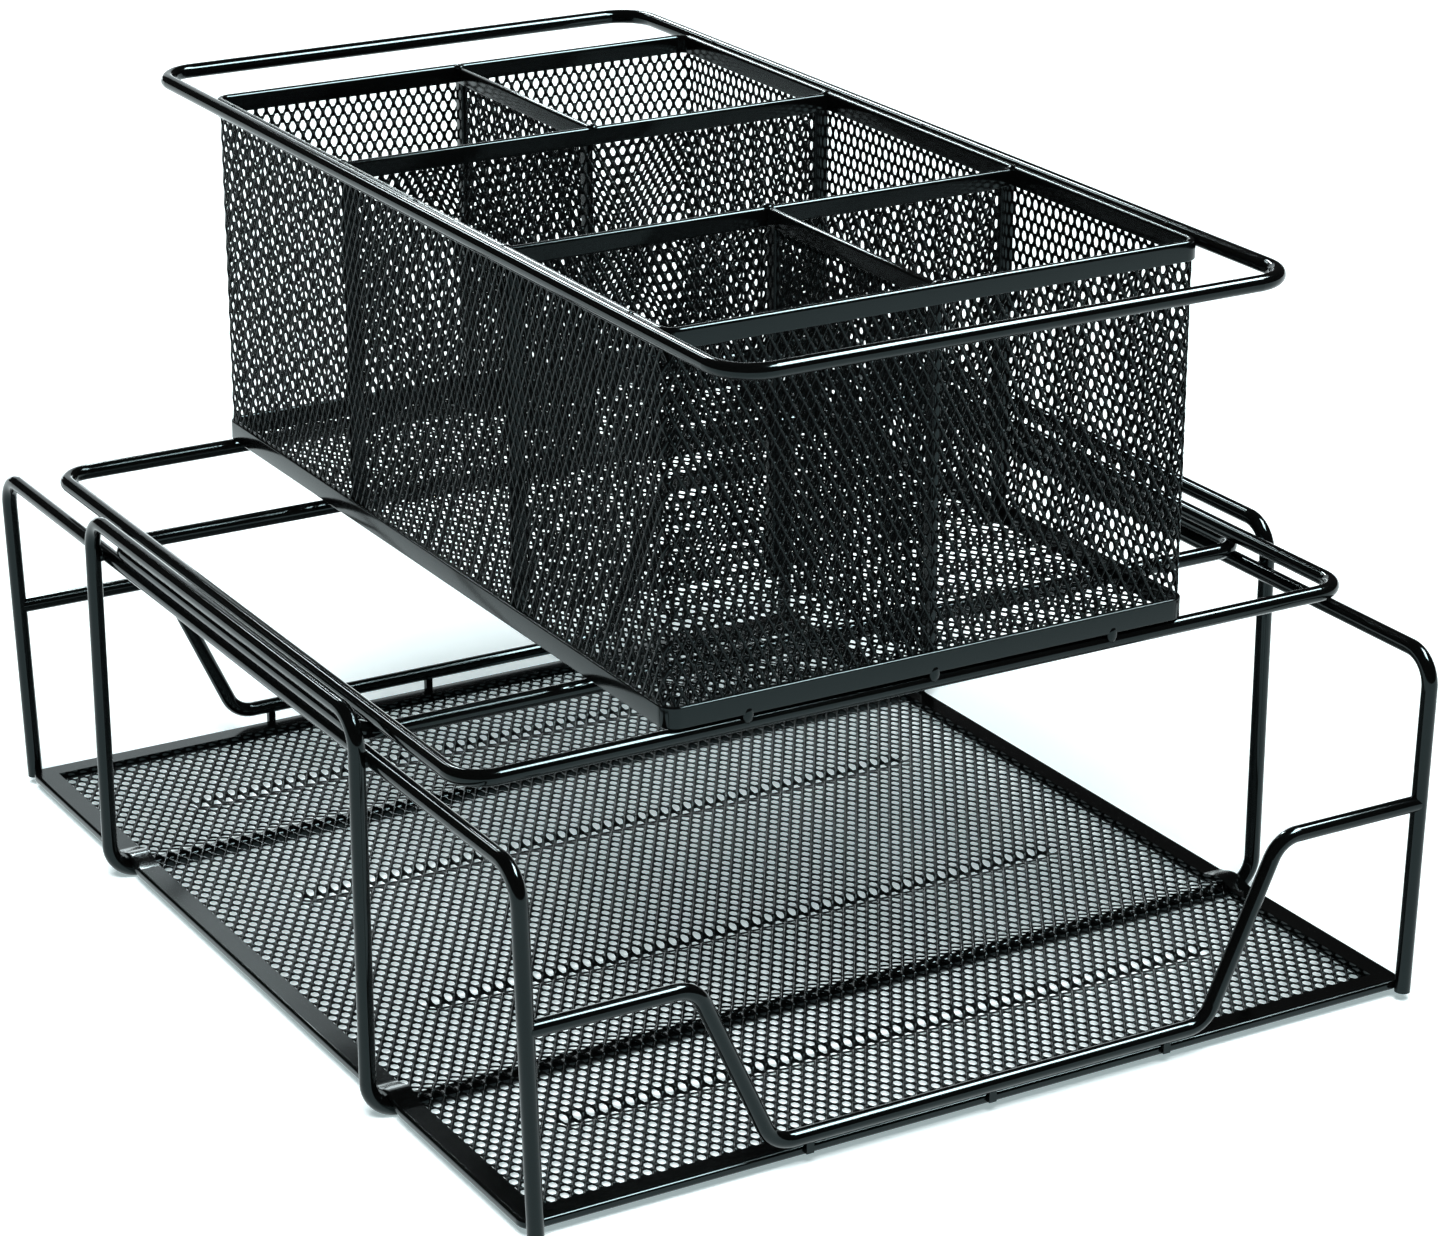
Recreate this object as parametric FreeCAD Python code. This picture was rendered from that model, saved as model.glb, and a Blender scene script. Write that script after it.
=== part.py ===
import FreeCAD, Part
import math
import os

V = FreeCAD.Vector

# ---------------------------------------------------------------- sizes (mm)
# The ground is z = 0, +X runs to the right along the front, +Y runs to the back.

# Wire stock
WIRE = 4.0  # main wires
HANDLE_WIRE = 3.8  # loop round the top of the basket
BEND = 8.0  # centreline radius of the bends in the stand and side wires
NIP = 0.05  # how far crossing wires are pressed into each other before they are cut to fit

# Stand wires: two half hoops that carry everything, joined end to end under the tray
RAIL_Z = 90.0  # centre of the long side rails
STAND_HALF_X = 126.6
STAND_HALF_Y = 77.3
STAND_OVER_RAIL = 10.75
STAND_TOP = RAIL_Z + STAND_OVER_RAIL  # centre of the top run
STAND_BOTTOM = WIRE / 2  # centre of the cross run lying on the desk

# Side wires: post, long rail, post
RAIL_HALF_X = STAND_HALF_X - WIRE + NIP
FOOT_LEAN = 6.6  # the posts lean in towards the foot
FOOT_HALF_X = STAND_HALF_X - FOOT_LEAN
POST_Y = 147.5

# Scoop wires: the dipped wires across the front and back of the tray
SCOOP_END_Z = 52.5
SCOOP_BOTTOM_Z = 8.6
SCOOP_TOP_HALF_X = 79.6
SCOOP_BOTTOM_HALF_X = 59.7

# Support frame lying on the rails
FRAME_SETBACK = 5.6  # from the legs to the cross runs of the frame
FRAME_HALF_X = RAIL_HALF_X - NIP
FRAME_HALF_Y = STAND_HALF_Y - FRAME_SETBACK
FRAME_Z = RAIL_Z + WIRE - NIP
FRAME_BEND = 7.4

# Letter tray
TRAY_SETBACK = 1.5  # from the middle of the posts to the edge of the tray
TRAY_HALF_X = FOOT_HALF_X + WIRE / 2
TRAY_HALF_Y = POST_Y - TRAY_SETBACK
TRAY_CORNER = 4.0
STRIP_WIDTH = 6.0
STRIP_BOTTOM = 2.5
STRIP_TOP = 4.8
STRIP_EDGE = 0.8  # rounding of the rolled outer edge
SADDLE_GAP = 0.03  # film of paint between strip and cross run
SADDLE_RISE = STAND_BOTTOM + WIRE / 2 + SADDLE_GAP - STRIP_BOTTOM
SADDLE_RUN = 4.902  # half length of the rise over a cross run, to its height
SADDLE_HALF = SADDLE_RUN * SADDLE_RISE
SHEET = 0.6  # thickness of every mesh sheet
TRAY_SHEET_BOTTOM = 2.9
SHEET_TUCK = 3.0  # how far the tray sheet runs inside its folded strips
RIB_RISE = STAND_BOTTOM + WIRE / 2 + SADDLE_GAP - TRAY_SHEET_BOTTOM
RIB_RUN = 4.8673  # half length of the rib over a cross run, to its height
RIB_HALF = RIB_RUN * RIB_RISE
GROOVE_Y = (-105.0, -36.0, 36.0, 105.0)
GROOVE_MARGIN = 29.0  # from the side of the tray to the end of a groove
GROOVE_HALF_X = TRAY_HALF_X - GROOVE_MARGIN
GROOVE_WIDTH = 8.0
GROOVE_FLOOR = 2.4
GROOVE_DEPTH = 1.6

# Small welded tabs, at the same three places on tray and platform
TAB_X = (-49.5, 0.0, 49.5)
TAB_WIDTH = 2.0
TAB_THICK = 1.5

# Lift-off caddy: wire platform, mesh basket, handle loop
CLEARANCE = 0.3  # free space between the caddy and the stand
PLATFORM_SETBACK = 3.0  # from the side of the support frame to the side of the platform
BASKET_OVERHANG = 2.4  # from the middle of the platform wire to the outside of the rim
PLATFORM_HALF_X = FRAME_HALF_X - PLATFORM_SETBACK
PLATFORM_Z = RAIL_Z + 2 * WIRE + CLEARANCE
BASKET_HALF_X = 70.9  # outside of the folded top rim
BASKET_HALF_Y = 119.5
PLATFORM_HALF_Y = BASKET_HALF_Y - BASKET_OVERHANG
BASKET_CORNER = 4.5
BASKET_HEIGHT = 92.8
SEAT_GAP = 0.4  # daylight between the platform wire and the band
BAND_THICK = 1.6
BAND_HEIGHT = 5.3
BAND_BOTTOM = PLATFORM_Z + WIRE / 2 + SEAT_GAP
BAND_TOP = BAND_BOTTOM + BAND_HEIGHT
RIM_THICK = 2.0
RIM_HEIGHT = 4.8
RIM_TOP = BAND_BOTTOM + BASKET_HEIGHT
RIM_BOTTOM = RIM_TOP - RIM_HEIGHT
WALL_INSET = (RIM_THICK - SHEET) / 2
BAND_INSET = (RIM_THICK - BAND_THICK) / 2
FOLD = 0.6  # metal left over the edge of a sheet in a folded strip
FLOOR_RISE = 0.5  # from the bottom of the band to the bottom of the floor
FLOOR_BOTTOM = BAND_BOTTOM + FLOOR_RISE
HANDLE_HALF_X = BASKET_HALF_X + HANDLE_WIRE / 2 - 2 * NIP
HANDLE_HALF_Y = 151.5
HANDLE_DROP = 1.1  # from the top of the rim to the middle of the handle wire
HANDLE_Z = RIM_TOP - HANDLE_DROP
HANDLE_BEND = 10.0
HANDLE_WELD_Y = (-105.0, 0.0, 105.0)

# Dividers
CROSS_Y = 43.4
HEM_THICK = 1.8
HEM_HEIGHT = 4.8
HEM_DROP = 0.5  # the dividers end a little under the rim
HEM_TOP = RIM_TOP - HEM_DROP
HEM_SIDE = 4.0


# ---------------------------------------------------------------- shape helpers
def bent_path(points, bend, closed):
    """Straight runs joined by tangent arcs; returns the wire, its start and its direction."""
    count = len(points)
    start = (points[-1] + points[0]) * 0.5 if closed else points[0]
    finish = start if closed else points[-1]
    corners = range(count) if closed else range(1, count - 1)
    here = start
    edges = []
    for index in corners:
        corner = points[index]
        back = (points[index - 1] - corner).normalize()
        ahead = (points[(index + 1) % count] - corner).normalize()
        half = back.getAngle(ahead) / 2
        reach = bend / math.tan(half)
        inward = (back + ahead).normalize() * (bend / math.sin(half) - bend)
        arc_start = corner + back * reach
        arc_end = corner + ahead * reach
        edges.append(Part.makeLine(here, arc_start))
        edges.append(Part.Arc(arc_start, corner + inward, arc_end).toShape())
        here = arc_end
    edges.append(Part.makeLine(here, finish))
    direction = edges[0].tangentAt(edges[0].FirstParameter)
    return Part.Wire(edges), start, direction


def bent_wire(points, bend, diameter, closed=False):
    """Round wire bent along the given corner points."""
    path, start, direction = bent_path(points, bend, closed)
    profile = Part.Wire(Part.makeCircle(diameter / 2, start, direction))
    solid = path.makePipeShell([profile], True, False)
    if solid.Volume < 0:
        solid.reverse()
    return solid


def flat_loop(half_x, half_y, z, bend, diameter):
    """Closed rectangular wire loop lying flat."""
    corners = [
        V(-half_x, -half_y, z),
        V(half_x, -half_y, z),
        V(half_x, half_y, z),
        V(-half_x, half_y, z),
    ]
    return bent_wire(corners, bend, diameter, closed=True)


def block(x0, x1, y0, y1, z0, z1):
    """Box between two corners."""
    return Part.makeBox(x1 - x0, y1 - y0, z1 - z0, V(x0, y0, z0))


def upright_edges(solid):
    """Edges that run straight up."""
    return [edge for edge in solid.Edges if abs(edge.tangentAt(edge.FirstParameter).z) > 0.99]


def rounded_block(half_x, half_y, corner, z0, z1):
    """Centred box with rounded upright edges."""
    solid = block(-half_x, half_x, -half_y, half_y, z0, z1)
    return solid.makeFillet(corner, upright_edges(solid))


def rounded_ring(half_x, half_y, corner, thick, z0, z1):
    """Upright band with rounded corners, measured over its outside."""
    outer = rounded_block(half_x, half_y, corner, z0, z1)
    inner = rounded_block(half_x - thick, half_y - thick, corner - thick, z0 - 1, z1 + 1)
    return outer.cut(inner)


def prism(outline, z0, z1):
    """Upright prism over a list of (x, y) corners."""
    points = [V(x, y, z0) for x, y in outline]
    face = Part.Face(Part.makePolygon(points + points[:1]))
    return face.extrude(V(0, 0, z1 - z0))


def mitre_region(side, half_x, half_y, z0, z1):
    """Space holding one side of a rectangular ring, cut off at 45 degrees in the corners."""
    out = 8.0
    inset = 20.0
    if side in ("front", "back"):
        sign = -1 if side == "front" else 1
        outline = [
            (-half_x - out, sign * (half_y + out)),
            (half_x + out, sign * (half_y + out)),
            (half_x - inset, sign * (half_y - inset)),
            (-half_x + inset, sign * (half_y - inset)),
        ]
    else:
        sign = -1 if side == "left" else 1
        outline = [
            (sign * (half_x + out), -half_y - out),
            (sign * (half_x + out), half_y + out),
            (sign * (half_x - inset), half_y - inset),
            (sign * (half_x - inset), -half_y + inset),
        ]
    return prism(outline, z0, z1)


def rise_curve(center, half, rise, z):
    """Smooth bump in the YZ plane, level at both ends."""
    points = []
    for step in range(-6, 7):
        share = step / 6.0
        height = rise * (1 + math.cos(math.pi * share)) / 2
        points.append(V(0, center + half * share, z + height))
    curve = Part.BSplineCurve()
    curve.interpolate(Points=points, InitialTangent=V(0, 1, 0), FinalTangent=V(0, 1, 0))
    return curve.toShape()


def risen_line(half_y, z, rises):
    """Edges along +Y at height z, with a bump over each (center, half, rise)."""
    here = V(0, -half_y, z)
    edges = []
    for center, half, rise in rises:
        edges.append(Part.makeLine(here, V(0, center - half, z)))
        edges.append(rise_curve(center, half, rise, z))
        here = V(0, center + half, z)
    edges.append(Part.makeLine(here, V(0, half_y, z)))
    return edges


def risen_sheet(half_x, half_y, z0, z1, half, rise):
    """Flat sheet that climbs over the two cross runs of the stand."""
    rises = [(-STAND_HALF_Y, half, rise), (STAND_HALF_Y, half, rise)]
    lower = risen_line(half_y, z0, rises)
    upper = risen_line(half_y, z1, rises)
    ends = [
        Part.makeLine(V(0, -half_y, z0), V(0, -half_y, z1)),
        Part.makeLine(V(0, half_y, z0), V(0, half_y, z1)),
    ]
    wire = Part.Wire(Part.__sortEdges__(lower + upper + ends))
    face = Part.Face(wire)
    face.translate(V(-half_x, 0, 0))
    return face.extrude(V(2 * half_x, 0, 0))


def frustum(center_y, half_x, half_y, slope_in, z_low, z_high):
    """Trough shape: a rectangle that shrinks by slope_in on every side on its way down."""
    wires = []
    for shrink, z in ((slope_in, z_low), (0.0, z_high)):
        dx = half_x - shrink
        dy = half_y - shrink
        corners = [
            V(-dx, center_y - dy, z),
            V(dx, center_y - dy, z),
            V(dx, center_y + dy, z),
            V(-dx, center_y + dy, z),
        ]
        wires.append(Part.makePolygon(corners + corners[:1]))
    return Part.makeLoft(wires, True, True)


def cut_all(solid, tools):
    """Solid with every tool cut away."""
    for tool in tools:
        solid = solid.cut(tool)
    return solid


def weld_bead(center, radius, wires):
    """Bead of weld in the corner between wires that touch."""
    return cut_all(Part.makeSphere(radius, center), wires)


# ---------------------------------------------------------------- stand and tray
def side_wire(sign):
    """Post, rail and post in one wire."""
    points = [
        V(sign * FOOT_HALF_X, -POST_Y, STRIP_BOTTOM),
        V(sign * RAIL_HALF_X, -POST_Y, RAIL_Z),
        V(sign * RAIL_HALF_X, POST_Y, RAIL_Z),
        V(sign * FOOT_HALF_X, POST_Y, STRIP_BOTTOM),
    ]
    return bent_wire(points, BEND, WIRE)


def stand_wire(sign):
    """Half hoop: cross run, leg, top run, leg, cross run."""
    points = [
        V(0, -STAND_HALF_Y, STAND_BOTTOM),
        V(sign * STAND_HALF_X, -STAND_HALF_Y, STAND_BOTTOM),
        V(sign * STAND_HALF_X, -STAND_HALF_Y, STAND_TOP),
        V(sign * STAND_HALF_X, STAND_HALF_Y, STAND_TOP),
        V(sign * STAND_HALF_X, STAND_HALF_Y, STAND_BOTTOM),
        V(0, STAND_HALF_Y, STAND_BOTTOM),
    ]
    return bent_wire(points, BEND, WIRE)


def scoop_wire(sign, posts):
    """Dipped wire whose ends are shaped to the posts."""
    points = [
        V(-FOOT_HALF_X - 1, sign * POST_Y, SCOOP_END_Z),
        V(-SCOOP_TOP_HALF_X, sign * POST_Y, SCOOP_END_Z),
        V(-SCOOP_BOTTOM_HALF_X, sign * POST_Y, SCOOP_BOTTOM_Z),
        V(SCOOP_BOTTOM_HALF_X, sign * POST_Y, SCOOP_BOTTOM_Z),
        V(SCOOP_TOP_HALF_X, sign * POST_Y, SCOOP_END_Z),
        V(FOOT_HALF_X + 1, sign * POST_Y, SCOOP_END_Z),
    ]
    return cut_all(bent_wire(points, BEND, WIRE), posts)


def tray_sheet():
    """Mesh floor of the tray, with sunken grooves and a rib over each cross run."""
    half_x = TRAY_HALF_X - SHEET_TUCK
    half_y = TRAY_HALF_Y - SHEET_TUCK
    sheet_top = TRAY_SHEET_BOTTOM + SHEET
    sheet = risen_sheet(half_x, half_y, TRAY_SHEET_BOTTOM, sheet_top, RIB_HALF, RIB_RISE)
    slope = (GROOVE_WIDTH - GROOVE_FLOOR) / 2
    for y in GROOVE_Y:
        half_width = GROOVE_WIDTH / 2
        low = TRAY_SHEET_BOTTOM - GROOVE_DEPTH
        outer = frustum(y, GROOVE_HALF_X, half_width, slope, low, TRAY_SHEET_BOTTOM)
        inner = frustum(y, GROOVE_HALF_X, half_width, slope, low + SHEET, sheet_top)
        sheet = sheet.fuse(outer).cut(inner)
    return sheet.removeSplitter()


def leg_reliefs():
    """Clearance under the strips where the cross runs start to bend up into the legs."""
    inner = BEND - WIRE / 2
    bend_x = STAND_HALF_X - BEND
    bend_z = STAND_BOTTOM + BEND
    x0 = bend_x + math.sqrt(inner**2 - (bend_z - WIRE - SADDLE_GAP) ** 2)
    z1 = bend_z - math.sqrt(inner**2 - (TRAY_HALF_X - bend_x) ** 2) + SADDLE_GAP
    half = WIRE / 2 + 0.2
    reliefs = []
    for x_sign in (-1, 1):
        for y_sign in (-1, 1):
            x_low, x_high = sorted((x_sign * x0, x_sign * (TRAY_HALF_X + 1)))
            y = y_sign * STAND_HALF_Y
            reliefs.append(block(x_low, x_high, y - half, y + half, 0, z1))
    return reliefs


def tray_strips(sheet, posts):
    """Four folded strips round the tray, mitred in the corners and relieved for the legs."""
    solid = risen_sheet(
        TRAY_HALF_X, TRAY_HALF_Y, STRIP_BOTTOM, STRIP_TOP, SADDLE_HALF, SADDLE_RISE
    )
    solid = solid.makeFillet(TRAY_CORNER, upright_edges(solid))
    rolled = []
    for edge in solid.Edges:
        middle = edge.valueAt((edge.FirstParameter + edge.LastParameter) / 2)
        along_side = abs(abs(middle.x) - TRAY_HALF_X) < 1.5
        along_end = abs(abs(middle.y) - TRAY_HALF_Y) < 1.5
        level = abs(edge.tangentAt(edge.FirstParameter).z) < 0.5
        if level and (along_side or along_end):
            rolled.append(edge)
    solid = solid.makeFillet(STRIP_EDGE, rolled)
    opening = block(
        -TRAY_HALF_X + STRIP_WIDTH,
        TRAY_HALF_X - STRIP_WIDTH,
        -TRAY_HALF_Y + STRIP_WIDTH,
        TRAY_HALF_Y - STRIP_WIDTH,
        0,
        20,
    )
    ring = cut_all(solid.cut(opening), [sheet] + posts + leg_reliefs())
    strips = {}
    for side in ("front", "back", "left", "right"):
        region = mitre_region(side, TRAY_HALF_X, TRAY_HALF_Y, 0, 20)
        strips["tray_rim_" + side] = ring.common(region)
    return strips


def weld_tabs(sign, inner_y, z0, z1, neighbours):
    """Three small tabs in a row, shaped to the parts they join."""
    tabs = []
    for x in TAB_X:
        y0, y1 = sorted((sign * inner_y, sign * (inner_y + TAB_THICK)))
        tab = block(x - TAB_WIDTH / 2, x + TAB_WIDTH / 2, y0, y1, z0, z1)
        tabs.append(cut_all(tab, neighbours))
    return Part.makeCompound(tabs)


def rail_welds(wires):
    """Beads where the four legs cross the side rails."""
    x = STAND_HALF_X - WIRE / 2
    beads = []
    for x_sign in (-1, 1):
        for y_sign in (-1, 1):
            center = V(x_sign * x, y_sign * STAND_HALF_Y, RAIL_Z)
            beads.append(weld_bead(center, 1.6, wires))
    return Part.makeCompound(beads)


def build_base():
    """Nodes of the stand with its letter tray."""
    sides = [side_wire(-1), side_wire(1)]
    stand = [stand_wire(-1), stand_wire(1)]
    sides = [cut_all(wire, stand) for wire in sides]
    scoops = [scoop_wire(-1, sides), scoop_wire(1, sides)]
    frame = flat_loop(FRAME_HALF_X, FRAME_HALF_Y, FRAME_Z, FRAME_BEND, WIRE)
    sheet = tray_sheet()
    strips = tray_strips(sheet, sides)
    nodes = {
        "side_wire_left": sides[0],
        "side_wire_right": sides[1],
        "scoop_wire_front": scoops[0],
        "scoop_wire_back": scoops[1],
        "stand_wire_left": stand[0],
        "stand_wire_right": stand[1],
        "support_frame": cut_all(frame, sides),
        "tray_mesh": sheet,
        "rail_welds": rail_welds(sides + stand),
    }
    nodes.update(strips)
    for index, side in enumerate(("front", "back")):
        neighbours = [scoops[index], strips["tray_rim_" + side]]
        sign = -1 if side == "front" else 1
        tabs = weld_tabs(sign, TRAY_HALF_Y - 0.4, 3.2, SCOOP_BOTTOM_Z, neighbours)
        nodes["tray_tabs_" + side] = tabs
    return nodes


# ---------------------------------------------------------------- lift-off caddy
def basket_ring(inset, thick, z0, z1):
    """Ring that follows the basket outline, inset from the outside of the rim."""
    corner = BASKET_CORNER - inset
    return rounded_ring(BASKET_HALF_X - inset, BASKET_HALF_Y - inset, corner, thick, z0, z1)


def cross_divider(sign, others):
    """Mesh sheet across the basket and the folded frame round its top and sides."""
    y = sign * CROSS_Y
    wall = BASKET_HALF_X - WALL_INSET - SHEET
    rim = BASKET_HALF_X - RIM_THICK
    floor = FLOOR_BOTTOM + SHEET
    hem_bottom = HEM_TOP - HEM_HEIGHT
    sheet = block(-wall, wall, y - SHEET / 2, y + SHEET / 2, floor, HEM_TOP - FOLD)
    sheet = cut_all(sheet, others)
    hem_y = (y - HEM_THICK / 2, y + HEM_THICK / 2)
    hem = block(-rim, rim, hem_y[0], hem_y[1], hem_bottom, HEM_TOP)
    for x_sign in (-1, 1):
        x0, x1 = sorted((x_sign * (wall - HEM_SIDE), x_sign * wall))
        hem = hem.fuse(block(x0, x1, hem_y[0], hem_y[1], floor, hem_bottom + 1))
    hem = cut_all(hem.removeSplitter(), others + [sheet])
    return sheet, hem


def end_divider(sign, others):
    """Mesh sheet between a cross divider and the end wall, with its folded frame."""
    near = CROSS_Y + HEM_THICK / 2
    wall = BASKET_HALF_Y - WALL_INSET - SHEET
    rim = BASKET_HALF_Y - RIM_THICK
    floor = FLOOR_BOTTOM + SHEET
    hem_bottom = HEM_TOP - HEM_HEIGHT
    y0, y1 = sorted((sign * near, sign * wall))
    sheet = block(-SHEET / 2, SHEET / 2, y0, y1, floor, HEM_TOP - FOLD)
    sheet = cut_all(sheet, others)
    hem_x = HEM_THICK / 2
    y0, y1 = sorted((sign * near, sign * rim))
    hem = block(-hem_x, hem_x, y0, y1, hem_bottom, HEM_TOP)
    for start, stop in ((near, near + HEM_SIDE), (wall - HEM_SIDE, wall)):
        y0, y1 = sorted((sign * start, sign * stop))
        hem = hem.fuse(block(-hem_x, hem_x, y0, y1, floor, hem_bottom + 1))
    hem = cut_all(hem.removeSplitter(), others + [sheet])
    return sheet, hem


def handle_welds(handle, rim):
    """Spots of weld on top of the seam between the handle loop and the rim."""
    beads = []
    for x_sign in (-1, 1):
        for y in HANDLE_WELD_Y:
            center = V(x_sign * (BASKET_HALF_X + 0.4), y, HANDLE_Z + 1.0)
            beads.append(weld_bead(center, 0.9, [handle, rim]))
    return Part.makeCompound(beads)


def build_caddy():
    """Nodes of the basket on its wire platform."""
    platform = flat_loop(PLATFORM_HALF_X, PLATFORM_HALF_Y, PLATFORM_Z, BEND, WIRE)
    handle = flat_loop(HANDLE_HALF_X, HANDLE_HALF_Y, HANDLE_Z, HANDLE_BEND, HANDLE_WIRE)
    walls = basket_ring(WALL_INSET, SHEET, BAND_BOTTOM + FOLD, RIM_TOP - FOLD)
    rim = basket_ring(0, RIM_THICK, RIM_BOTTOM, RIM_TOP).cut(walls).cut(handle)
    band = basket_ring(BAND_INSET, BAND_THICK, BAND_BOTTOM, BAND_TOP).cut(walls)
    floor_inset = BAND_INSET + BAND_THICK
    floor = rounded_block(
        BASKET_HALF_X - floor_inset,
        BASKET_HALF_Y - floor_inset,
        BASKET_CORNER - floor_inset,
        FLOOR_BOTTOM,
        FLOOR_BOTTOM + SHEET,
    )
    nodes = {
        "platform_loop": platform,
        "handle_loop": handle,
        "basket_rim": rim,
        "basket_band": band,
        "basket_floor": floor,
        "handle_welds": handle_welds(handle, rim),
    }
    for side in ("front", "back", "left", "right"):
        region = mitre_region(
            side, BASKET_HALF_X, BASKET_HALF_Y, BAND_BOTTOM - 10, RIM_TOP + 10
        )
        nodes["basket_wall_" + side] = walls.common(region)
    for side, sign in (("front", -1), ("back", 1)):
        sheet, hem = cross_divider(sign, [rim, band, walls])
        nodes["cross_divider_" + side] = sheet
        nodes["cross_divider_frame_" + side] = hem
        sheet, hem = end_divider(sign, [rim, band, walls])
        nodes["end_divider_" + side] = sheet
        nodes["end_divider_frame_" + side] = hem
        tab_y = PLATFORM_HALF_Y + 1.0
        tabs = weld_tabs(sign, tab_y, PLATFORM_Z, BAND_BOTTOM + 2, [platform, band, walls])
        nodes["platform_tabs_" + side] = tabs
    return nodes


def main():
    os.makedirs("parts", exist_ok=True)
    nodes = build_base()
    nodes.update(build_caddy())
    for name, shape in nodes.items():
        shape.exportStep("parts/" + name + ".step")
        print(name, shape.isValid(), len(shape.Solids), round(shape.Volume, 1))


main()
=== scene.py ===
"""Desk organizer: a wire stand with a mesh letter tray, carrying a lift-off mesh caddy."""

import logging
import math
from dataclasses import dataclass, replace
from enum import Enum

import bmesh
import bpy
from mathutils import Matrix, Vector


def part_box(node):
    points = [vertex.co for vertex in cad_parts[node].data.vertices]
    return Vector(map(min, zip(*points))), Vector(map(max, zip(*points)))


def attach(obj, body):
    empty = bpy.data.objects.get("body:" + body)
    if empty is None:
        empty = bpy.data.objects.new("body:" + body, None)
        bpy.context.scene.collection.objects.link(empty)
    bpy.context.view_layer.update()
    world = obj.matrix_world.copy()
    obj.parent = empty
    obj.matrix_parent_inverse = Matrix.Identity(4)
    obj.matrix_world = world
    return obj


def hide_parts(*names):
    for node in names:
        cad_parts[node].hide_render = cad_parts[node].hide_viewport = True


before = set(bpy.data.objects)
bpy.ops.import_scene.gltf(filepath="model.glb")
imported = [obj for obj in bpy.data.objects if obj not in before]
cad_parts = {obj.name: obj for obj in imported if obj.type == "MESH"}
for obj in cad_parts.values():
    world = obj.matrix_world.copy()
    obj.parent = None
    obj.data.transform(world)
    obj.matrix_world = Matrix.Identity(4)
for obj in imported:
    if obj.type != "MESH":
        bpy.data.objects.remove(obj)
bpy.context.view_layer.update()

LOG = logging.getLogger("organizer")
MM = 0.001
NEAR = 0.01 * MM  # points closer than this count as one
TILE_NEAR = 1e-7  # the same, inside one diamond
EDGE_STEPS = 4  # faces across a rounded edge
CORNER_STEPS = 8  # faces round the corner of a ring
SHARP_ANGLE = 0.7  # edges that turn by more than this are rounded, in radians
BEAD_RINGS = 8
BLUNT_SHARE = 0.55  # rounding of a hole's blunt corners, to that of its sharp ones

DARK_TINT = (1.0, 1.08, 1.06)
SPREAD_TINT = (1.0, 1.15, 1.12)
SHEEN_TINT = (0.74, 0.97, 1.0, 1.0)
DUST_STOPS = ((0.68, 0.0), (0.74, 1.0))


# ------------------------------------------------------------------ shader maths
class Socket:
    """An output socket of a material, usable in Python expressions."""

    def __init__(self, tree: bpy.types.NodeTree, link: bpy.types.NodeSocket) -> None:
        """Keep the tree and the socket.

        Args:
            tree: the node tree the socket belongs to.
            link: the output socket itself.
        """
        self.tree = tree
        self.link = link

    @staticmethod
    def make(
        tree: bpy.types.NodeTree,
        kind: str,
        output: str | int,
        settings: dict | None = None,
        inputs: dict | None = None,
    ) -> "Socket":
        """Add any node.

        Args:
            tree: the tree to add it to.
            kind: the node's type name.
            output: name or number of the output to return.
            settings: attributes set before the inputs; "stops" fills a colour ramp with
                (place, shade) pairs.
            inputs: values or sockets, by input name or number.

        Returns:
            The chosen output, wrapped.
        """
        node = tree.nodes.new(kind)
        for name, value in (settings or {}).items():
            if name == "stops":
                ramp = node.color_ramp
                while len(ramp.elements) < len(value):
                    ramp.elements.new(0.5)
                for element, (place, shade) in zip(ramp.elements, value):
                    element.position = place
                    element.color = (shade, shade, shade, 1.0)
            else:
                setattr(node, name, value)
        for name, value in (inputs or {}).items():
            if isinstance(value, Socket):
                tree.links.new(value.link, node.inputs[name])
            else:
                node.inputs[name].default_value = value
        return Socket(tree, node.outputs[output])

    def _math(self, operation: str, first: "Socket | float", second: "Socket | float") -> "Socket":
        """One Math node.

        Args:
            operation: the Math node's operation.
            first: the upper operand.
            second: the lower operand.

        Returns:
            The result.
        """
        settings = {"operation": operation}
        return Socket.make(self.tree, "ShaderNodeMath", 0, settings, {0: first, 1: second})

    def __add__(self, other: "Socket | float") -> "Socket":
        """self + other."""
        return self._math("ADD", self, other)

    __radd__ = __add__

    def __sub__(self, other: "Socket | float") -> "Socket":
        """self - other."""
        return self._math("SUBTRACT", self, other)

    def __rsub__(self, other: "Socket | float") -> "Socket":
        """other - self."""
        return self._math("SUBTRACT", other, self)

    def __mul__(self, other: "Socket | float") -> "Socket":
        """self * other."""
        return self._math("MULTIPLY", self, other)

    __rmul__ = __mul__


# ------------------------------------------------------------------ finishes
class Slot(Enum):
    """Material slots of the record."""

    WIRE = "wire"
    STRIP = "folded_strip"
    MESH = "expanded_mesh"


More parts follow.
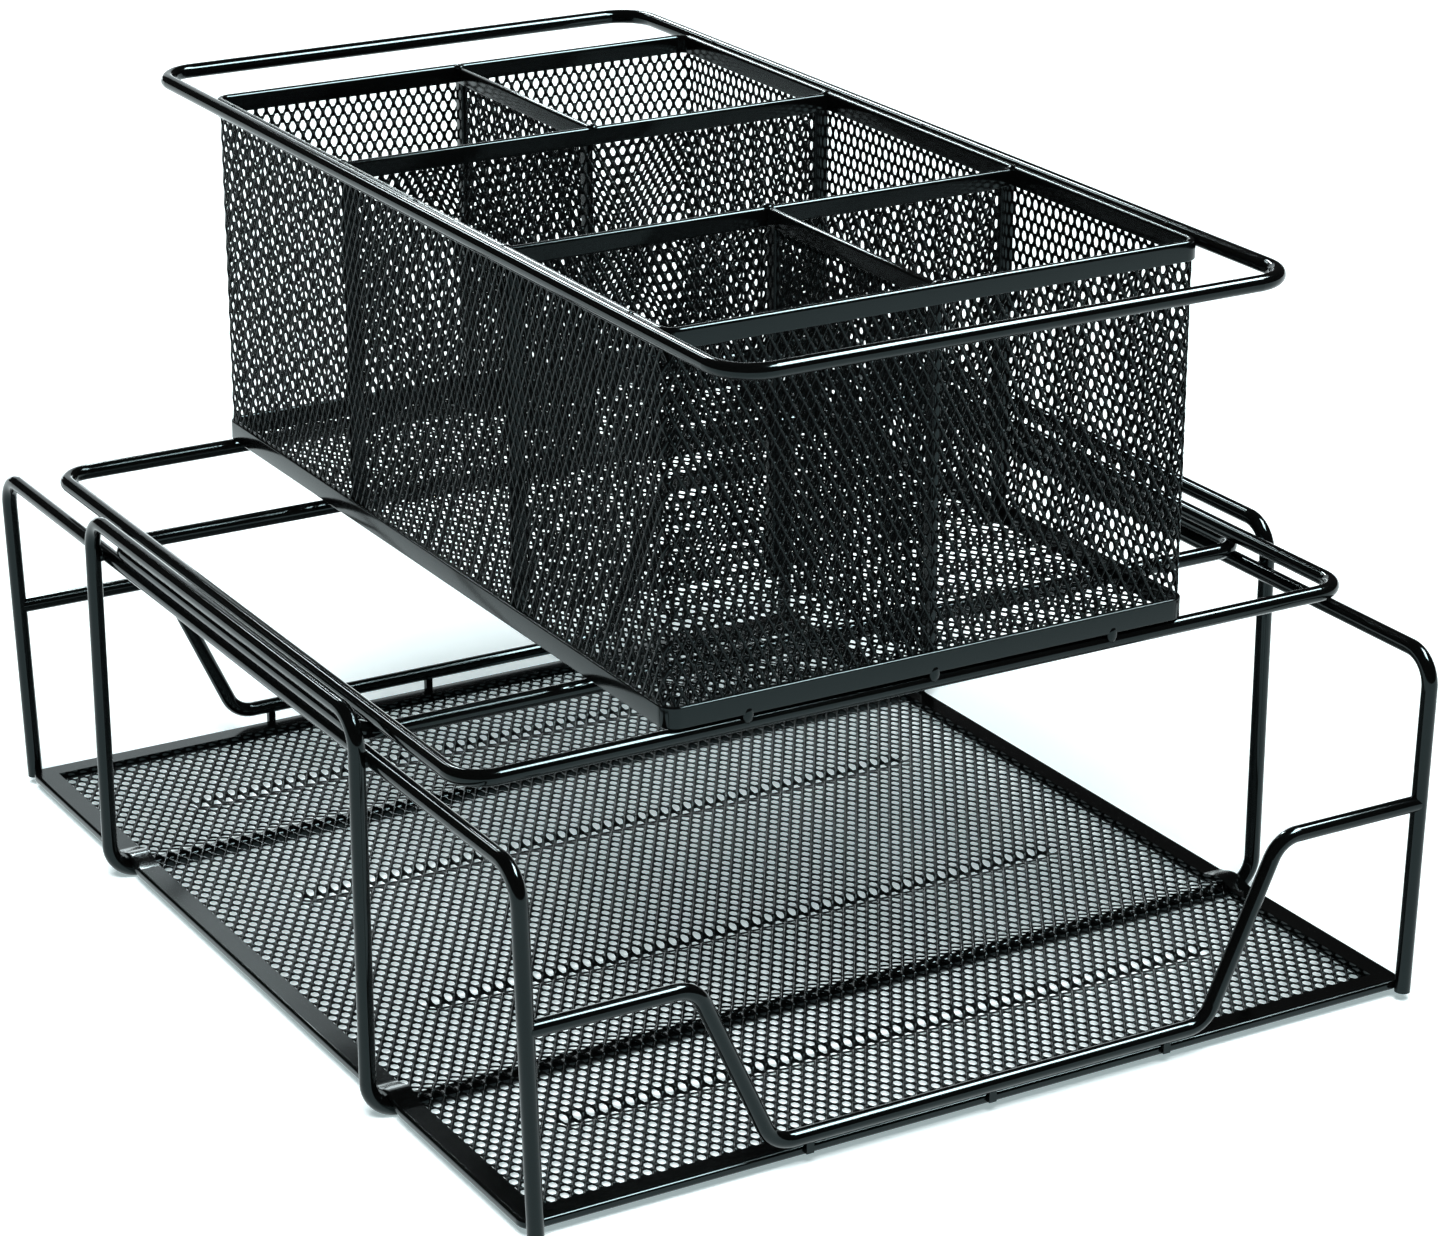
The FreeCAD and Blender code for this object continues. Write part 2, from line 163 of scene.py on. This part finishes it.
@dataclass(frozen=True)
class PowderCoat:
    """Glossy black powder coat with the faint unevenness of baked paint."""

    name: str
    slot: Slot
    shade: float = 0.0006
    shade_spread: float = 0.0008
    roughness: float = 0.07
    roughness_spread: float = 0.05
    blotch_size: float = 30 * MM
    dust_size: float = 0.5 * MM
    dust_dulling: float = 0.04
    peel_size: float = 1.6 * MM
    peel_depth: float = 0.005 * MM
    sag_size: float = 14 * MM
    sag_depth: float = 0.05 * MM
    gloss_level: float = 0.2

    def material(self) -> bpy.types.Material:
        """Build the material.

        Returns:
            The finished material.
        """
        made = bpy.data.materials.new(self.name)
        made.use_nodes = True
        tree = made.node_tree
        tree.nodes.clear()
        place = Socket.make(tree, "ShaderNodeTexCoord", "Object")
        blotch = self.noise(tree, place, 1 / self.blotch_size, 3.0)
        peel = self.noise(tree, place, 1 / self.peel_size, 2.0)
        sag = self.noise(tree, place, 1 / self.sag_size, 1.0)
        dust = self.noise(tree, place, 1 / self.dust_size, 1.0)
        stops = {"stops": DUST_STOPS}
        speck = Socket.make(tree, "ShaderNodeValToRGB", "Color", stops, {0: dust})
        dark = [self.shade * part for part in DARK_TINT]
        light = [self.shade + self.shade_spread * part for part in SPREAD_TINT]
        tint = Socket.make(
            tree,
            "ShaderNodeMix",
            2,
            {"data_type": "RGBA"},
            {0: blotch, 6: (*dark, 1.0), 7: (*light, 1.0)},
        )
        gloss = self.roughness + self.roughness_spread * blotch + self.dust_dulling * speck
        height = peel * self.peel_depth + sag * self.sag_depth
        bump = Socket.make(
            tree,
            "ShaderNodeBump",
            "Normal",
            None,
            {"Strength": 1.0, "Distance": 1.0, "Height": height},
        )
        shader = Socket.make(
            tree,
            "ShaderNodeBsdfPrincipled",
            "BSDF",
            None,
            {
                "Base Color": tint,
                "Roughness": gloss,
                "Specular IOR Level": self.gloss_level,
                "Specular Tint": SHEEN_TINT,
                "Normal": bump,
            },
        )
        self.output(tree, shader)
        return made

    @staticmethod
    def output(tree: bpy.types.NodeTree, shader: Socket) -> None:
        """Connect the shader to the material's output.

        Args:
            tree: the material's tree.
            shader: the surface shader.
        """
        end = tree.nodes.new("ShaderNodeOutputMaterial")
        tree.links.new(shader.link, end.inputs["Surface"])

    @staticmethod
    def noise(tree: bpy.types.NodeTree, place: Socket, scale: float, detail: float) -> Socket:
        """Soft noise from 0 to 1.

        Args:
            tree: the material's tree.
            place: where the surface is.
            scale: bumps per metre.
            detail: octaves.

        Returns:
            The noise value.
        """
        inputs = {"Vector": place, "Scale": scale, "Detail": detail}
        return Socket.make(tree, "ShaderNodeTexNoise", 0, None, inputs)


WIRE_COAT = PowderCoat("black_wire_coat", Slot.WIRE, peel_depth=0.003 * MM, sag_depth=0.02 * MM)
STRIP_COAT = PowderCoat("black_strip_coat", Slot.STRIP, roughness=0.1)
MESH_COAT = PowderCoat(
    "black_mesh_coat",
    Slot.MESH,
    roughness=0.2,
    peel_size=0.4 * MM,
    peel_depth=0.006 * MM,
    sag_depth=0.0,
    gloss_level=0.14,
)


# ------------------------------------------------------------------ expanded mesh
@dataclass(frozen=True)
class Diamond:
    """One diamond of expanded steel mesh, sizes in metres."""

    wide: float
    tall: float
    strand: float
    thick: float
    knot: float

    def tile(self) -> bpy.types.Mesh:
        """Mesh of one diamond: a four-sided strand frame round an open hole.

        Returns:
            The tile, centred, lying in the XY plane.
        """
        bm = bmesh.new()
        bmesh.ops.create_circle(bm, cap_ends=True, radius=1.0, segments=4)
        bmesh.ops.scale(bm, vec=(self.wide / 2, self.tall / 2, 1.0), verts=bm.verts)
        outer = list(bm.verts)
        hole = bm.faces[:]
        bmesh.ops.inset_individual(
            bm, faces=hole, thickness=self.strand / 2, depth=0.0, use_even_offset=True
        )
        bmesh.ops.translate(bm, vec=(0, 0, self.thick / 2), verts=outer)
        inner = hole[0].verts[:]
        sharp = [vert for vert in inner if abs(vert.co.x) < self.strand / 4]
        blunt = [vert for vert in inner if vert not in sharp]
        for corners, share in ((sharp, 1.0), (blunt, BLUNT_SHARE)):
            bmesh.ops.bevel(
                bm,
                geom=corners,
                offset=self.knot * share,
                offset_type="OFFSET",
                segments=1,
                profile=0.5,
                affect="VERTICES",
                material=-1,
            )
        middle = min(bm.faces, key=lambda face: face.calc_center_median().xy.length)
        bmesh.ops.delete(bm, geom=[middle], context="FACES_ONLY")
        everything = bm.verts[:] + bm.edges[:] + bm.faces[:]
        bmesh.ops.mirror(
            bm, geom=everything, matrix=Matrix.Identity(4), merge_dist=TILE_NEAR, axis="Z"
        )
        bmesh.ops.remove_doubles(bm, verts=bm.verts, dist=TILE_NEAR)
        return mesh_from(bm, "diamond")


FLOOR_DIAMOND = Diamond(3.5 * MM, 5.56 * MM, 0.95 * MM, 0.6 * MM, 0.85 * MM)


def mesh_from(bm: bmesh.types.BMesh, name: str) -> bpy.types.Mesh:
    """Turn a bmesh into a mesh and free it.

    Args:
        bm: the bmesh.
        name: the mesh's name.

    Returns:
        The mesh.
    """
    mesh = bpy.data.meshes.new(name)
    bm.to_mesh(mesh)
    bm.free()
    return mesh


def repeated(unit: bpy.types.Mesh, steps: list[Vector]) -> bpy.types.Mesh:
    """Copies of a mesh, one at each step.

    Args:
        unit: the mesh to repeat; it is removed afterwards.
        steps: where each copy goes.

    Returns:
        The joined mesh.
    """
    bm = bmesh.new()
    for step in steps:
        start = len(bm.verts)
        bm.from_mesh(unit)
        bm.verts.ensure_lookup_table()
        bmesh.ops.translate(bm, vec=step, verts=bm.verts[start:])
    bpy.data.meshes.remove(unit)
    return mesh_from(bm, "repeated")


def lattice(
    diamond: Diamond, low: tuple[float, float], high: tuple[float, float]
) -> bmesh.types.BMesh:
    """Flat panel of mesh in the XY plane, with a hole centred on the origin, cut to a rectangle.

    Args:
        diamond: the mesh's diamond.
        low: lowest x and y.
        high: highest x and y.

    Returns:
        The panel's bmesh.
    """
    first = (math.floor(low[0] / diamond.wide), math.floor(low[1] / diamond.tall))
    last = (math.ceil(high[0] / diamond.wide), math.ceil(high[1] / diamond.tall))
    half_step = Vector((diamond.wide / 2, diamond.tall / 2, 0))
    pair = repeated(diamond.tile(), [Vector(), half_step])
    row = repeated(
        pair, [Vector((i * diamond.wide, 0, 0)) for i in range(first[0] - 1, last[0] + 1)]
    )
    field_mesh = repeated(
        row, [Vector((0, i * diamond.tall, 0)) for i in range(first[1] - 1, last[1] + 1)]
    )
    bm = bmesh.new()
    bm.from_mesh(field_mesh)
    bpy.data.meshes.remove(field_mesh)
    bmesh.ops.remove_doubles(bm, verts=bm.verts, dist=NEAR)
    for axis in (0, 1):
        for place, way in ((low[axis], -1), (high[axis], 1)):
            normal = Vector((0, 0, 0))
            normal[axis] = way
            point = Vector((0, 0, 0))
            point[axis] = place
            bmesh.ops.bisect_plane(
                bm,
                geom=bm.verts[:] + bm.edges[:] + bm.faces[:],
                plane_co=point,
                plane_no=normal,
                clear_outer=True,
            )
    bmesh.ops.recalc_face_normals(bm, faces=bm.faces)
    return bm


def rounded_bar(bm: bmesh.types.BMesh, low: Vector, high: Vector, radius: float) -> None:
    """Add a bar with rounded edges.

    Args:
        bm: the bmesh to add it to.
        low: lowest corner.
        high: highest corner.
        radius: rounding of its edges.
    """
    size = high - low
    place = Matrix.Translation((high + low) / 2) @ Matrix.Diagonal((*size, 1.0))
    verts = bmesh.ops.create_cube(bm, size=1.0, matrix=place)["verts"]
    edges = list({edge for vert in verts for edge in vert.link_edges})
    bmesh.ops.bevel(
        bm,
        geom=edges,
        offset=radius,
        segments=EDGE_STEPS,
        profile=0.5,
        affect="EDGES",
        material=-1,
    )


def rounded_ring(
    low: Vector, high: Vector, corner: float, thick: float, radii: tuple[float, float]
) -> bmesh.types.BMesh:
    """Upright band that follows a rounded rectangle.

    Args:
        low: lowest corner of its box.
        high: highest corner of its box.
        corner: radius of the outside corners.
        thick: thickness of the band.
        radii: rounding of the bottom and the top edges.

    Returns:
        The band's bmesh.
    """
    bm = bmesh.new()
    bmesh.ops.create_grid(bm, x_segments=1, y_segments=1, size=1.0)
    half = Vector((high.x, high.y, 1.0))
    bmesh.ops.scale(bm, vec=half, verts=bm.verts)
    bmesh.ops.bevel(
        bm,
        geom=bm.verts[:],
        offset=corner,
        segments=CORNER_STEPS,
        profile=0.5,
        affect="VERTICES",
        material=-1,
    )
    plate = bm.faces[:]
    bmesh.ops.inset_individual(bm, faces=plate, thickness=thick, depth=0.0, use_even_offset=True)
    bmesh.ops.delete(bm, geom=plate, context="FACES_ONLY")
    bmesh.ops.translate(bm, vec=(0, 0, low.z), verts=bm.verts)
    ring = bm.faces[:]
    made = bmesh.ops.extrude_face_region(bm, geom=ring, use_keep_orig=True)["geom"]
    upper = [item for item in made if isinstance(item, bmesh.types.BMVert)]
    bmesh.ops.translate(bm, vec=(0, 0, high.z - low.z), verts=upper)
    bmesh.ops.recalc_face_normals(bm, faces=bm.faces)
    for place, radius in zip((low.z, high.z), radii):
        level = [
            edge
            for edge in bm.edges
            if all(abs(vert.co.z - place) < NEAR for vert in edge.verts)
            and abs(edge.calc_face_angle(0.0)) > SHARP_ANGLE
        ]
        bmesh.ops.bevel(
            bm,
            geom=level,
            offset=radius,
            segments=EDGE_STEPS,
            profile=0.5,
            affect="EDGES",
            material=-1,
        )
    return bm


def add_bead(bm: bmesh.types.BMesh, middle: Vector, radii: Vector, around: int) -> None:
    """Add a bead of weld, an ellipsoid.

    Args:
        bm: the bmesh to add it to.
        middle: its centre.
        radii: its half sizes.
        around: faces round it.
    """
    shape = Matrix.Translation(middle) @ Matrix.Diagonal((*radii, 1.0))
    bmesh.ops.create_uvsphere(
        bm, u_segments=around, v_segments=BEAD_RINGS, radius=1.0, matrix=shape
    )


def swell(off: float, half: float) -> float:
    """Smooth bump.

    Args:
        off: distance from its middle.
        half: half its width.

    Returns:
        1 in the middle, 0 from half on.
    """
    return (1 + math.cos(math.pi * off / half)) / 2 if off < half else 0.0


def placed(name: str, data: bpy.types.ID) -> bpy.types.Object:
    """Put data into the scene as an object.

    Args:
        name: the object's name.
        data: its mesh, light or camera.

    Returns:
        The object.
    """
    item = bpy.data.objects.new(name, data)
    bpy.context.scene.collection.objects.link(item)
    return item


class Coats:
    """The materials made so far, one per finish."""

    made: dict[str, bpy.types.Material] = {}

    @classmethod
    def get(cls, finish: PowderCoat) -> bpy.types.Material:
        """The finish's material, built on first use.

        Args:
            finish: the coat.

        Returns:
            Its material.
        """
        if finish.name not in cls.made:
            cls.made[finish.name] = finish.material()
        return cls.made[finish.name]

    @classmethod
    def dress(cls, node: str, finish: PowderCoat) -> None:
        """Give every material slot of a CAD node this finish.

        Args:
            node: the CAD node.
            finish: its coat.
        """
        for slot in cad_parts[node].material_slots:
            slot.material = cls.get(finish)
        LOG.info("%s: dressed in %s", node, finish.name)


def finished_piece(
    bm: bmesh.types.BMesh, name: str, body: str, finish: PowderCoat, node: str | None
) -> bpy.types.Object:
    """Make an object of a bmesh, dress it and put it on its body.

    Args:
        bm: the finished shape, in place.
        name: the piece's name.
        body: the CAD body it rides on.
        finish: the coat it wears.
        node: the CAD node it stands for, if any.

    Returns:
        The object.
    """
    for face in bm.faces:
        face.smooth = True
    mesh = mesh_from(bm, name)
    piece = placed(name, mesh)
    mesh.materials.append(Coats.get(finish))
    if node:
        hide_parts(node)
    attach(piece, body)
    LOG.info("%s: %d faces on %s", name, len(mesh.polygons), body)
    return piece


# ------------------------------------------------------------------ stand
@dataclass
class Stand:
    """Wire stand with its letter tray."""

    body: str = "stand"
    diamond: Diamond = FLOOR_DIAMOND
    wires: tuple[str, ...] = (
        "side_wire_left",
        "side_wire_right",
        "stand_wire_left",
        "stand_wire_right",
        "scoop_wire_front",
        "scoop_wire_back",
        "support_frame",
        "rail_welds",
        "tray_tabs_front",
        "tray_tabs_back",
    )
    strips: tuple[str, ...] = (
        "tray_rim_front",
        "tray_rim_back",
        "tray_rim_left",
        "tray_rim_right",
    )
    rib_y: float = 77.3 * MM
    rib_half: float = 5.5 * MM
    rib_rise: float = 1.13 * MM
    groove_y: tuple[float, ...] = (-105.0 * MM, -36.0 * MM, 36.0 * MM, 105.0 * MM)
    groove_half: float = 4.0 * MM
    groove_depth: float = 1.6 * MM
    groove_end: float = 93.0 * MM
    sheet_z: float = 3.2 * MM

    def height(self, x: float, y: float) -> float:
        """Height of the tray's floor over its flat level.

        Args:
            x: place across the tray.
            y: place along the tray.

        Returns:
            The rise, negative in a groove.
        """
        rise = self.rib_rise * swell(abs(abs(y) - self.rib_y), self.rib_half)
        end = min(1.0, max(0.0, (self.groove_end - abs(x)) / self.groove_half))
        for groove in self.groove_y:
            rise -= end * self.groove_depth * swell(abs(y - groove), self.groove_half)
        return rise

    def build_tray(self) -> None:
        """Make the tray's mesh floor in three lengths."""
        low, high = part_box("tray_mesh")
        cuts = (low.y, low.y / 3, high.y / 3, high.y)
        for name, start, stop in zip(("front", "middle", "back"), cuts, cuts[1:]):
            bm = lattice(self.diamond, (low.x, start), (high.x, stop))
            for vert in bm.verts:
                vert.co.z += self.sheet_z + self.height(vert.co.x, vert.co.y)
            finished_piece(bm, "tray_mesh_" + name, self.body, MESH_COAT, "tray_mesh")

    def dress(self) -> None:
        """Coat the wires and strips."""
        for node in self.wires:
            Coats.dress(node, WIRE_COAT)
        for node in self.strips:
            Coats.dress(node, STRIP_COAT)


# ------------------------------------------------------------------ caddy
class Side(Enum):
    """Sides of the basket, as its pieces are named."""

    FRONT = "front"
    BACK = "back"
    LEFT = "left"
    RIGHT = "right"

    @property
    def turn(self) -> float:
        """Turn about Z that takes a wall facing -Y to this side."""
        turns = {Side.FRONT: 0.0, Side.RIGHT: 0.5, Side.BACK: 1.0, Side.LEFT: -0.5}
        return turns[self] * math.pi

    @property
    def is_end(self) -> bool:
        """Whether the side faces along Y."""
        return self in (Side.FRONT, Side.BACK)


@dataclass
class Caddy:
    """Mesh basket on its wire platform."""

    body: str = "caddy"
    end_mesh: Diamond = Diamond(2.94 * MM, 5.45 * MM, 0.74 * MM, 0.6 * MM, 0.65 * MM)
    side_mesh: Diamond = Diamond(3.0 * MM, 5.9 * MM, 0.95 * MM, 0.6 * MM, 0.8 * MM)
    flat: Diamond = FLOOR_DIAMOND
    wires: tuple[str, ...] = ("platform_loop", "handle_loop", "handle_welds")
    tab_x: tuple[float, ...] = (-49.5 * MM, 0.0, 49.5 * MM)
    rim_thick: float = 2.0 * MM
    rim_corner: float = 4.5 * MM
    rim_edges: tuple[float, float] = (0.3 * MM, 0.9 * MM)
    band_thick: float = 1.6 * MM
    band_corner: float = 4.3 * MM
    band_edges: tuple[float, float] = (0.4 * MM, 0.4 * MM)
    hem_height: float = 4.8 * MM
    hem_side: float = 4.0 * MM
    hem_edge: float = 0.8 * MM
    hem_side_edge: float = 0.5 * MM
    hem_overlap: float = 1.0 * MM
    bead_radius: float = 1.5 * MM
    bead_height: float = 0.8 * MM
    bead_sink: float = 0.1 * MM
    tab_bead_faces: int = 14
    divider_bead_faces: int = 12
    sheet: float = 0.6 * MM
    corner: float = 3.5 * MM

    def build_wall(self, side: Side) -> None:
        """One wall of the basket, wrapped half way round the corner at each end.

        Args:
            side: the side it is on.
        """
        node = "basket_wall_" + side.value
        low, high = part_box(node)
        half_x = abs(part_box("basket_wall_left")[0].x) - self.sheet / 2
        half_y = abs(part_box("basket_wall_front")[0].y) - self.sheet / 2
        half, depth = (half_x, half_y) if side.is_end else (half_y, half_x)
        straight = half - self.corner
        reach = straight + self.corner * math.pi / 4
        plain = self.end_mesh if side.is_end else self.side_mesh
        columns = round(2 * reach / plain.wide)
        diamond = replace(plain, wide=2 * reach / columns)
        bm = lattice(diamond, (-reach, low.z), (reach, high.z))
        for vert in bm.verts:
            vert.co = self.wrapped(vert.co, straight, depth)
        bmesh.ops.transform(bm, matrix=Matrix.Rotation(side.turn, 4, "Z"), verts=bm.verts)
        bmesh.ops.recalc_face_normals(bm, faces=bm.faces)
        name = "basket_wall_mesh_" + side.value
        finished_piece(bm, name, self.body, MESH_COAT, node)

    def wrapped(self, flat: Vector, straight: float, depth: float) -> Vector:
        """Place a point of the flat panel on the front wall and round its corners.

        Args:
            flat: distance along the sheet from its middle, height, and distance out from
                the sheet's middle surface.
            straight: half the wall's straight length.
            depth: distance of the sheet from the basket's middle.

        Returns:
            The point, for a wall facing -Y.
        """
        along, up, out = flat
        over = abs(along) - straight
        if over <= 0:
            return Vector((along, -depth - out, up))
        angle = over / self.corner
        radius = self.corner + out
        x = straight + radius * math.sin(angle)
        y = -depth + self.corner - radius * math.cos(angle)
        return Vector((math.copysign(x, along), y, up))

    def build_panel(self, node: str, name: str, diamond: Diamond) -> None:
        """A flat mesh panel that fills a CAD sheet.

        Args:
            node: the CAD sheet.
            name: the new piece's name.
            diamond: its mesh.
        """
        low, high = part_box(node)
        size = high - low
        middle = (high + low) / 2
        thin = min(range(3), key=lambda axis: size[axis])
        if thin == 2:
            bm = lattice(diamond, (low.x, low.y), (high.x, high.y))
            bmesh.ops.translate(bm, vec=(0, 0, middle.z), verts=bm.verts)
        elif thin == 1:
            bm = lattice(diamond, (low.x, low.z), (high.x, high.z))
            stand_up = Matrix.Translation((0, middle.y, 0)) @ Matrix.Rotation(math.pi / 2, 4, "X")
            bmesh.ops.transform(bm, matrix=stand_up, verts=bm.verts)
        else:
            bm = lattice(diamond, (low.y, low.z), (high.y, high.z))
            stand_up = Matrix.Rotation(math.pi / 2, 4, "Z") @ Matrix.Rotation(math.pi / 2, 4, "X")
            place = Matrix.Translation((middle.x, 0, 0)) @ stand_up
            bmesh.ops.transform(bm, matrix=place, verts=bm.verts)
        bmesh.ops.recalc_face_normals(bm, faces=bm.faces)
        finished_piece(bm, name, self.body, MESH_COAT, node)

    def build_frame(self, node: str, along: int) -> None:
        """Folded strip round the top and sides of a divider.

        Args:
            node: the CAD strip.
            along: axis the divider runs along.
        """
        low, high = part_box(node)
        bm = bmesh.new()
        top_low = Vector((low.x, low.y, high.z - self.hem_height))
        rounded_bar(bm, top_low, high, self.hem_edge)
        near, far = high.copy(), low.copy()
        near[along] = low[along] + self.hem_side
        far[along] = high[along] - self.hem_side
        near.z = high.z - self.hem_height + self.hem_overlap
        rounded_bar(bm, low, near, self.hem_side_edge)
        rounded_bar(bm, far, Vector((high.x, high.y, near.z)), self.hem_side_edge)
        finished_piece(bm, node + "_fold", self.body, STRIP_COAT, node)

    def build_ring(
        self, node: str, corner: float, thick: float, edges: tuple[float, float]
    ) -> None:
        """Folded strip all the way round the basket.

        Args:
            node: the CAD strip.
            corner: radius of its outside corners.
            thick: its thickness.
            edges: rounding of its bottom and top edges.
        """
        low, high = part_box(node)
        ring = rounded_ring(low, high, corner, thick, edges)
        finished_piece(ring, node + "_fold", self.body, STRIP_COAT, node)

    def build_tabs(self, side: Side) -> None:
        """Beads of weld that hold the basket to its platform.

        Args:
            side: front or back.
        """
        node = "platform_tabs_" + side.value
        low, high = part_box(node)
        middle = (low + high) / 2
        radii = Vector((self.bead_radius, (high.y - low.y) / 2, (high.z - low.z) / 2))
        bm = bmesh.new()
        for x in self.tab_x:
            add_bead(bm, Vector((x, middle.y, middle.z)), radii, self.tab_bead_faces)
        finished_piece(bm, "platform_beads_" + side.value, self.body, WIRE_COAT, node)

    def build_beads(self) -> None:
        """Spots of weld where the dividers meet the rim and each other."""
        low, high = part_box("cross_divider_frame_front")
        cross_y = -(low.y + high.y) / 2
        end_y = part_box("basket_rim")[1].y - self.rim_thick
        spots = [(x, y) for x in (low.x, high.x) for y in (-cross_y, cross_y)]
        spots += [(0.0, -end_y), (0.0, end_y), (0.0, -cross_y), (0.0, cross_y)]
        radii = Vector((self.bead_radius, self.bead_radius, self.bead_height))
        bm = bmesh.new()
        for x, y in spots:
            middle = Vector((x, y, high.z - self.bead_sink))
            add_bead(bm, middle, radii, self.divider_bead_faces)
        finished_piece(bm, "divider_weld_beads", self.body, WIRE_COAT, None)

    def build(self) -> None:
        """Make every mesh panel, folded strip and bead of the basket."""
        self.build_beads()
        for side in Side:
            self.build_wall(side)
        self.build_panel("basket_floor", "basket_floor_mesh", self.flat)
        for side in (Side.FRONT, Side.BACK):
            end = side.value
            self.build_panel("cross_divider_" + end, "cross_divider_mesh_" + end, self.end_mesh)
            self.build_panel("end_divider_" + end, "end_divider_mesh_" + end, self.side_mesh)
            self.build_frame("cross_divider_frame_" + end, 0)
            self.build_frame("end_divider_frame_" + end, 1)
            self.build_tabs(side)
        self.build_ring("basket_rim", self.rim_corner, self.rim_thick, self.rim_edges)
        self.build_ring("basket_band", self.band_corner, self.band_thick, self.band_edges)

    def dress(self) -> None:
        """Coat the wires."""
        for node in self.wires:
            Coats.dress(node, WIRE_COAT)


# ------------------------------------------------------------------ studio
@dataclass(frozen=True)
class Panel:
    """A flat light that only shows as a reflection, sizes in metres."""

    name: str
    place: tuple[float, float, float]
    size: tuple[float, float]
    radiance: float


@dataclass
class Studio:
    """Pale floor, soft lights and the camera."""

    camera_place: tuple[float, float, float] = (-0.4897, -0.8646, 0.4568)
    camera_tilt: float = 68.96
    camera_turn: float = -30.15
    lens: float = 104.6
    film_width: float = 36.0
    sky: float = 0.04
    sun_strength: float = 5.6
    sun_angle: float = 30.0
    sun_place: tuple[float, float, float] = (-0.25, -0.43, 0.87)
    floor_half: float = 6.0
    floor_colour: tuple[float, ...] = (0.8, 0.87, 0.88, 1.0)
    floor_roughness: float = 0.9
    floor_gloss: float = 0.1
    floor_glow: float = 0.4
    glow_colour: tuple[float, ...] = (0.8, 0.98, 1.0, 1.0)
    panel_colour: tuple[float, ...] = (0.88, 0.98, 1.0)
    panel_target: tuple[float, float, float] = (0.0, 0.0, 0.1)
    panels: tuple[Panel, ...] = (
        Panel("front_ceiling", (0.61, -0.36, 1.19), (0.8, 0.34), 90.0),
        Panel("back_strip_near", (0.27, 1.05, 0.88), (0.1, 0.32), 80.0),
        Panel("back_strip_far", (-0.13, 1.05, 0.92), (0.05, 0.32), 45.0),
        Panel("back_right_wall", (0.33, 1.3, 0.5), (0.75, 0.6), 1.4),
        Panel("back_low_wall", (0.35, 1.4, 0.17), (1.3, 0.22), 4.0),
    )

    def build_floor(self) -> None:
        """A pale floor that is part of the studio."""
        bm = bmesh.new()
        bmesh.ops.create_grid(bm, x_segments=1, y_segments=1, size=self.floor_half)
        mesh = mesh_from(bm, "studio_floor")
        floor = placed("studio_floor", mesh)
        material = bpy.data.materials.new("white_paper")
        material.use_nodes = True
        shader = material.node_tree.nodes["Principled BSDF"]
        shader.inputs["Base Color"].default_value = self.floor_colour
        shader.inputs["Roughness"].default_value = self.floor_roughness
        shader.inputs["Specular IOR Level"].default_value = self.floor_gloss
        shader.inputs["Emission Color"].default_value = self.glow_colour
        shader.inputs["Emission Strength"].default_value = self.floor_glow
        mesh.materials.append(material)

    def build_lights(self) -> None:
        """Soft sky and strip lights aimed at the object."""
        world = bpy.data.worlds.new("studio_sky")
        world.use_nodes = True
        background = world.node_tree.nodes["Background"]
        background.inputs["Color"].default_value = (1.0, 1.0, 1.0, 1.0)
        background.inputs["Strength"].default_value = self.sky
        bpy.context.scene.world = world
        sun = bpy.data.lights.new("soft_sun", "SUN")
        sun.energy = self.sun_strength
        sun.angle = math.radians(self.sun_angle)
        overhead = placed("soft_sun", sun)
        overhead.rotation_euler = Vector(self.sun_place).to_track_quat("Z", "Y").to_euler()
        overhead.visible_glossy = False
        target = Vector(self.panel_target)
        for panel in self.panels:
            width, length = panel.size
            data = bpy.data.lights.new(panel.name, "AREA")
            data.shape = "RECTANGLE"
            data.size = width
            data.size_y = length
            data.energy = panel.radiance * math.pi * width * length
            data.color = self.panel_colour
            light = placed(panel.name, data)
            light.location = panel.place
            aim = Vector(panel.place) - target
            light.rotation_euler = aim.to_track_quat("Z", "Y").to_euler()
            light.visible_diffuse = False

    def build_camera(self) -> None:
        """Camera for the main view."""
        data = bpy.data.cameras.new("main_camera")
        data.lens = self.lens
        data.sensor_width = self.film_width
        camera = placed("main_camera", data)
        camera.location = self.camera_place
        camera.rotation_euler = (math.radians(self.camera_tilt), 0, math.radians(self.camera_turn))
        bpy.context.scene.camera = camera

    def build(self) -> None:
        """Set the whole studio up."""
        self.build_floor()
        self.build_lights()
        self.build_camera()
        bpy.context.scene.view_settings.view_transform = "Standard"


def main() -> None:
    """Build the object and the studio round it."""
    logging.basicConfig(level=logging.INFO, format="%(name)s %(message)s")
    stand = Stand()
    stand.build_tray()
    stand.dress()
    caddy = Caddy()
    caddy.build()
    caddy.dress()
    Studio().build()


if __name__ == "__main__":
    main()
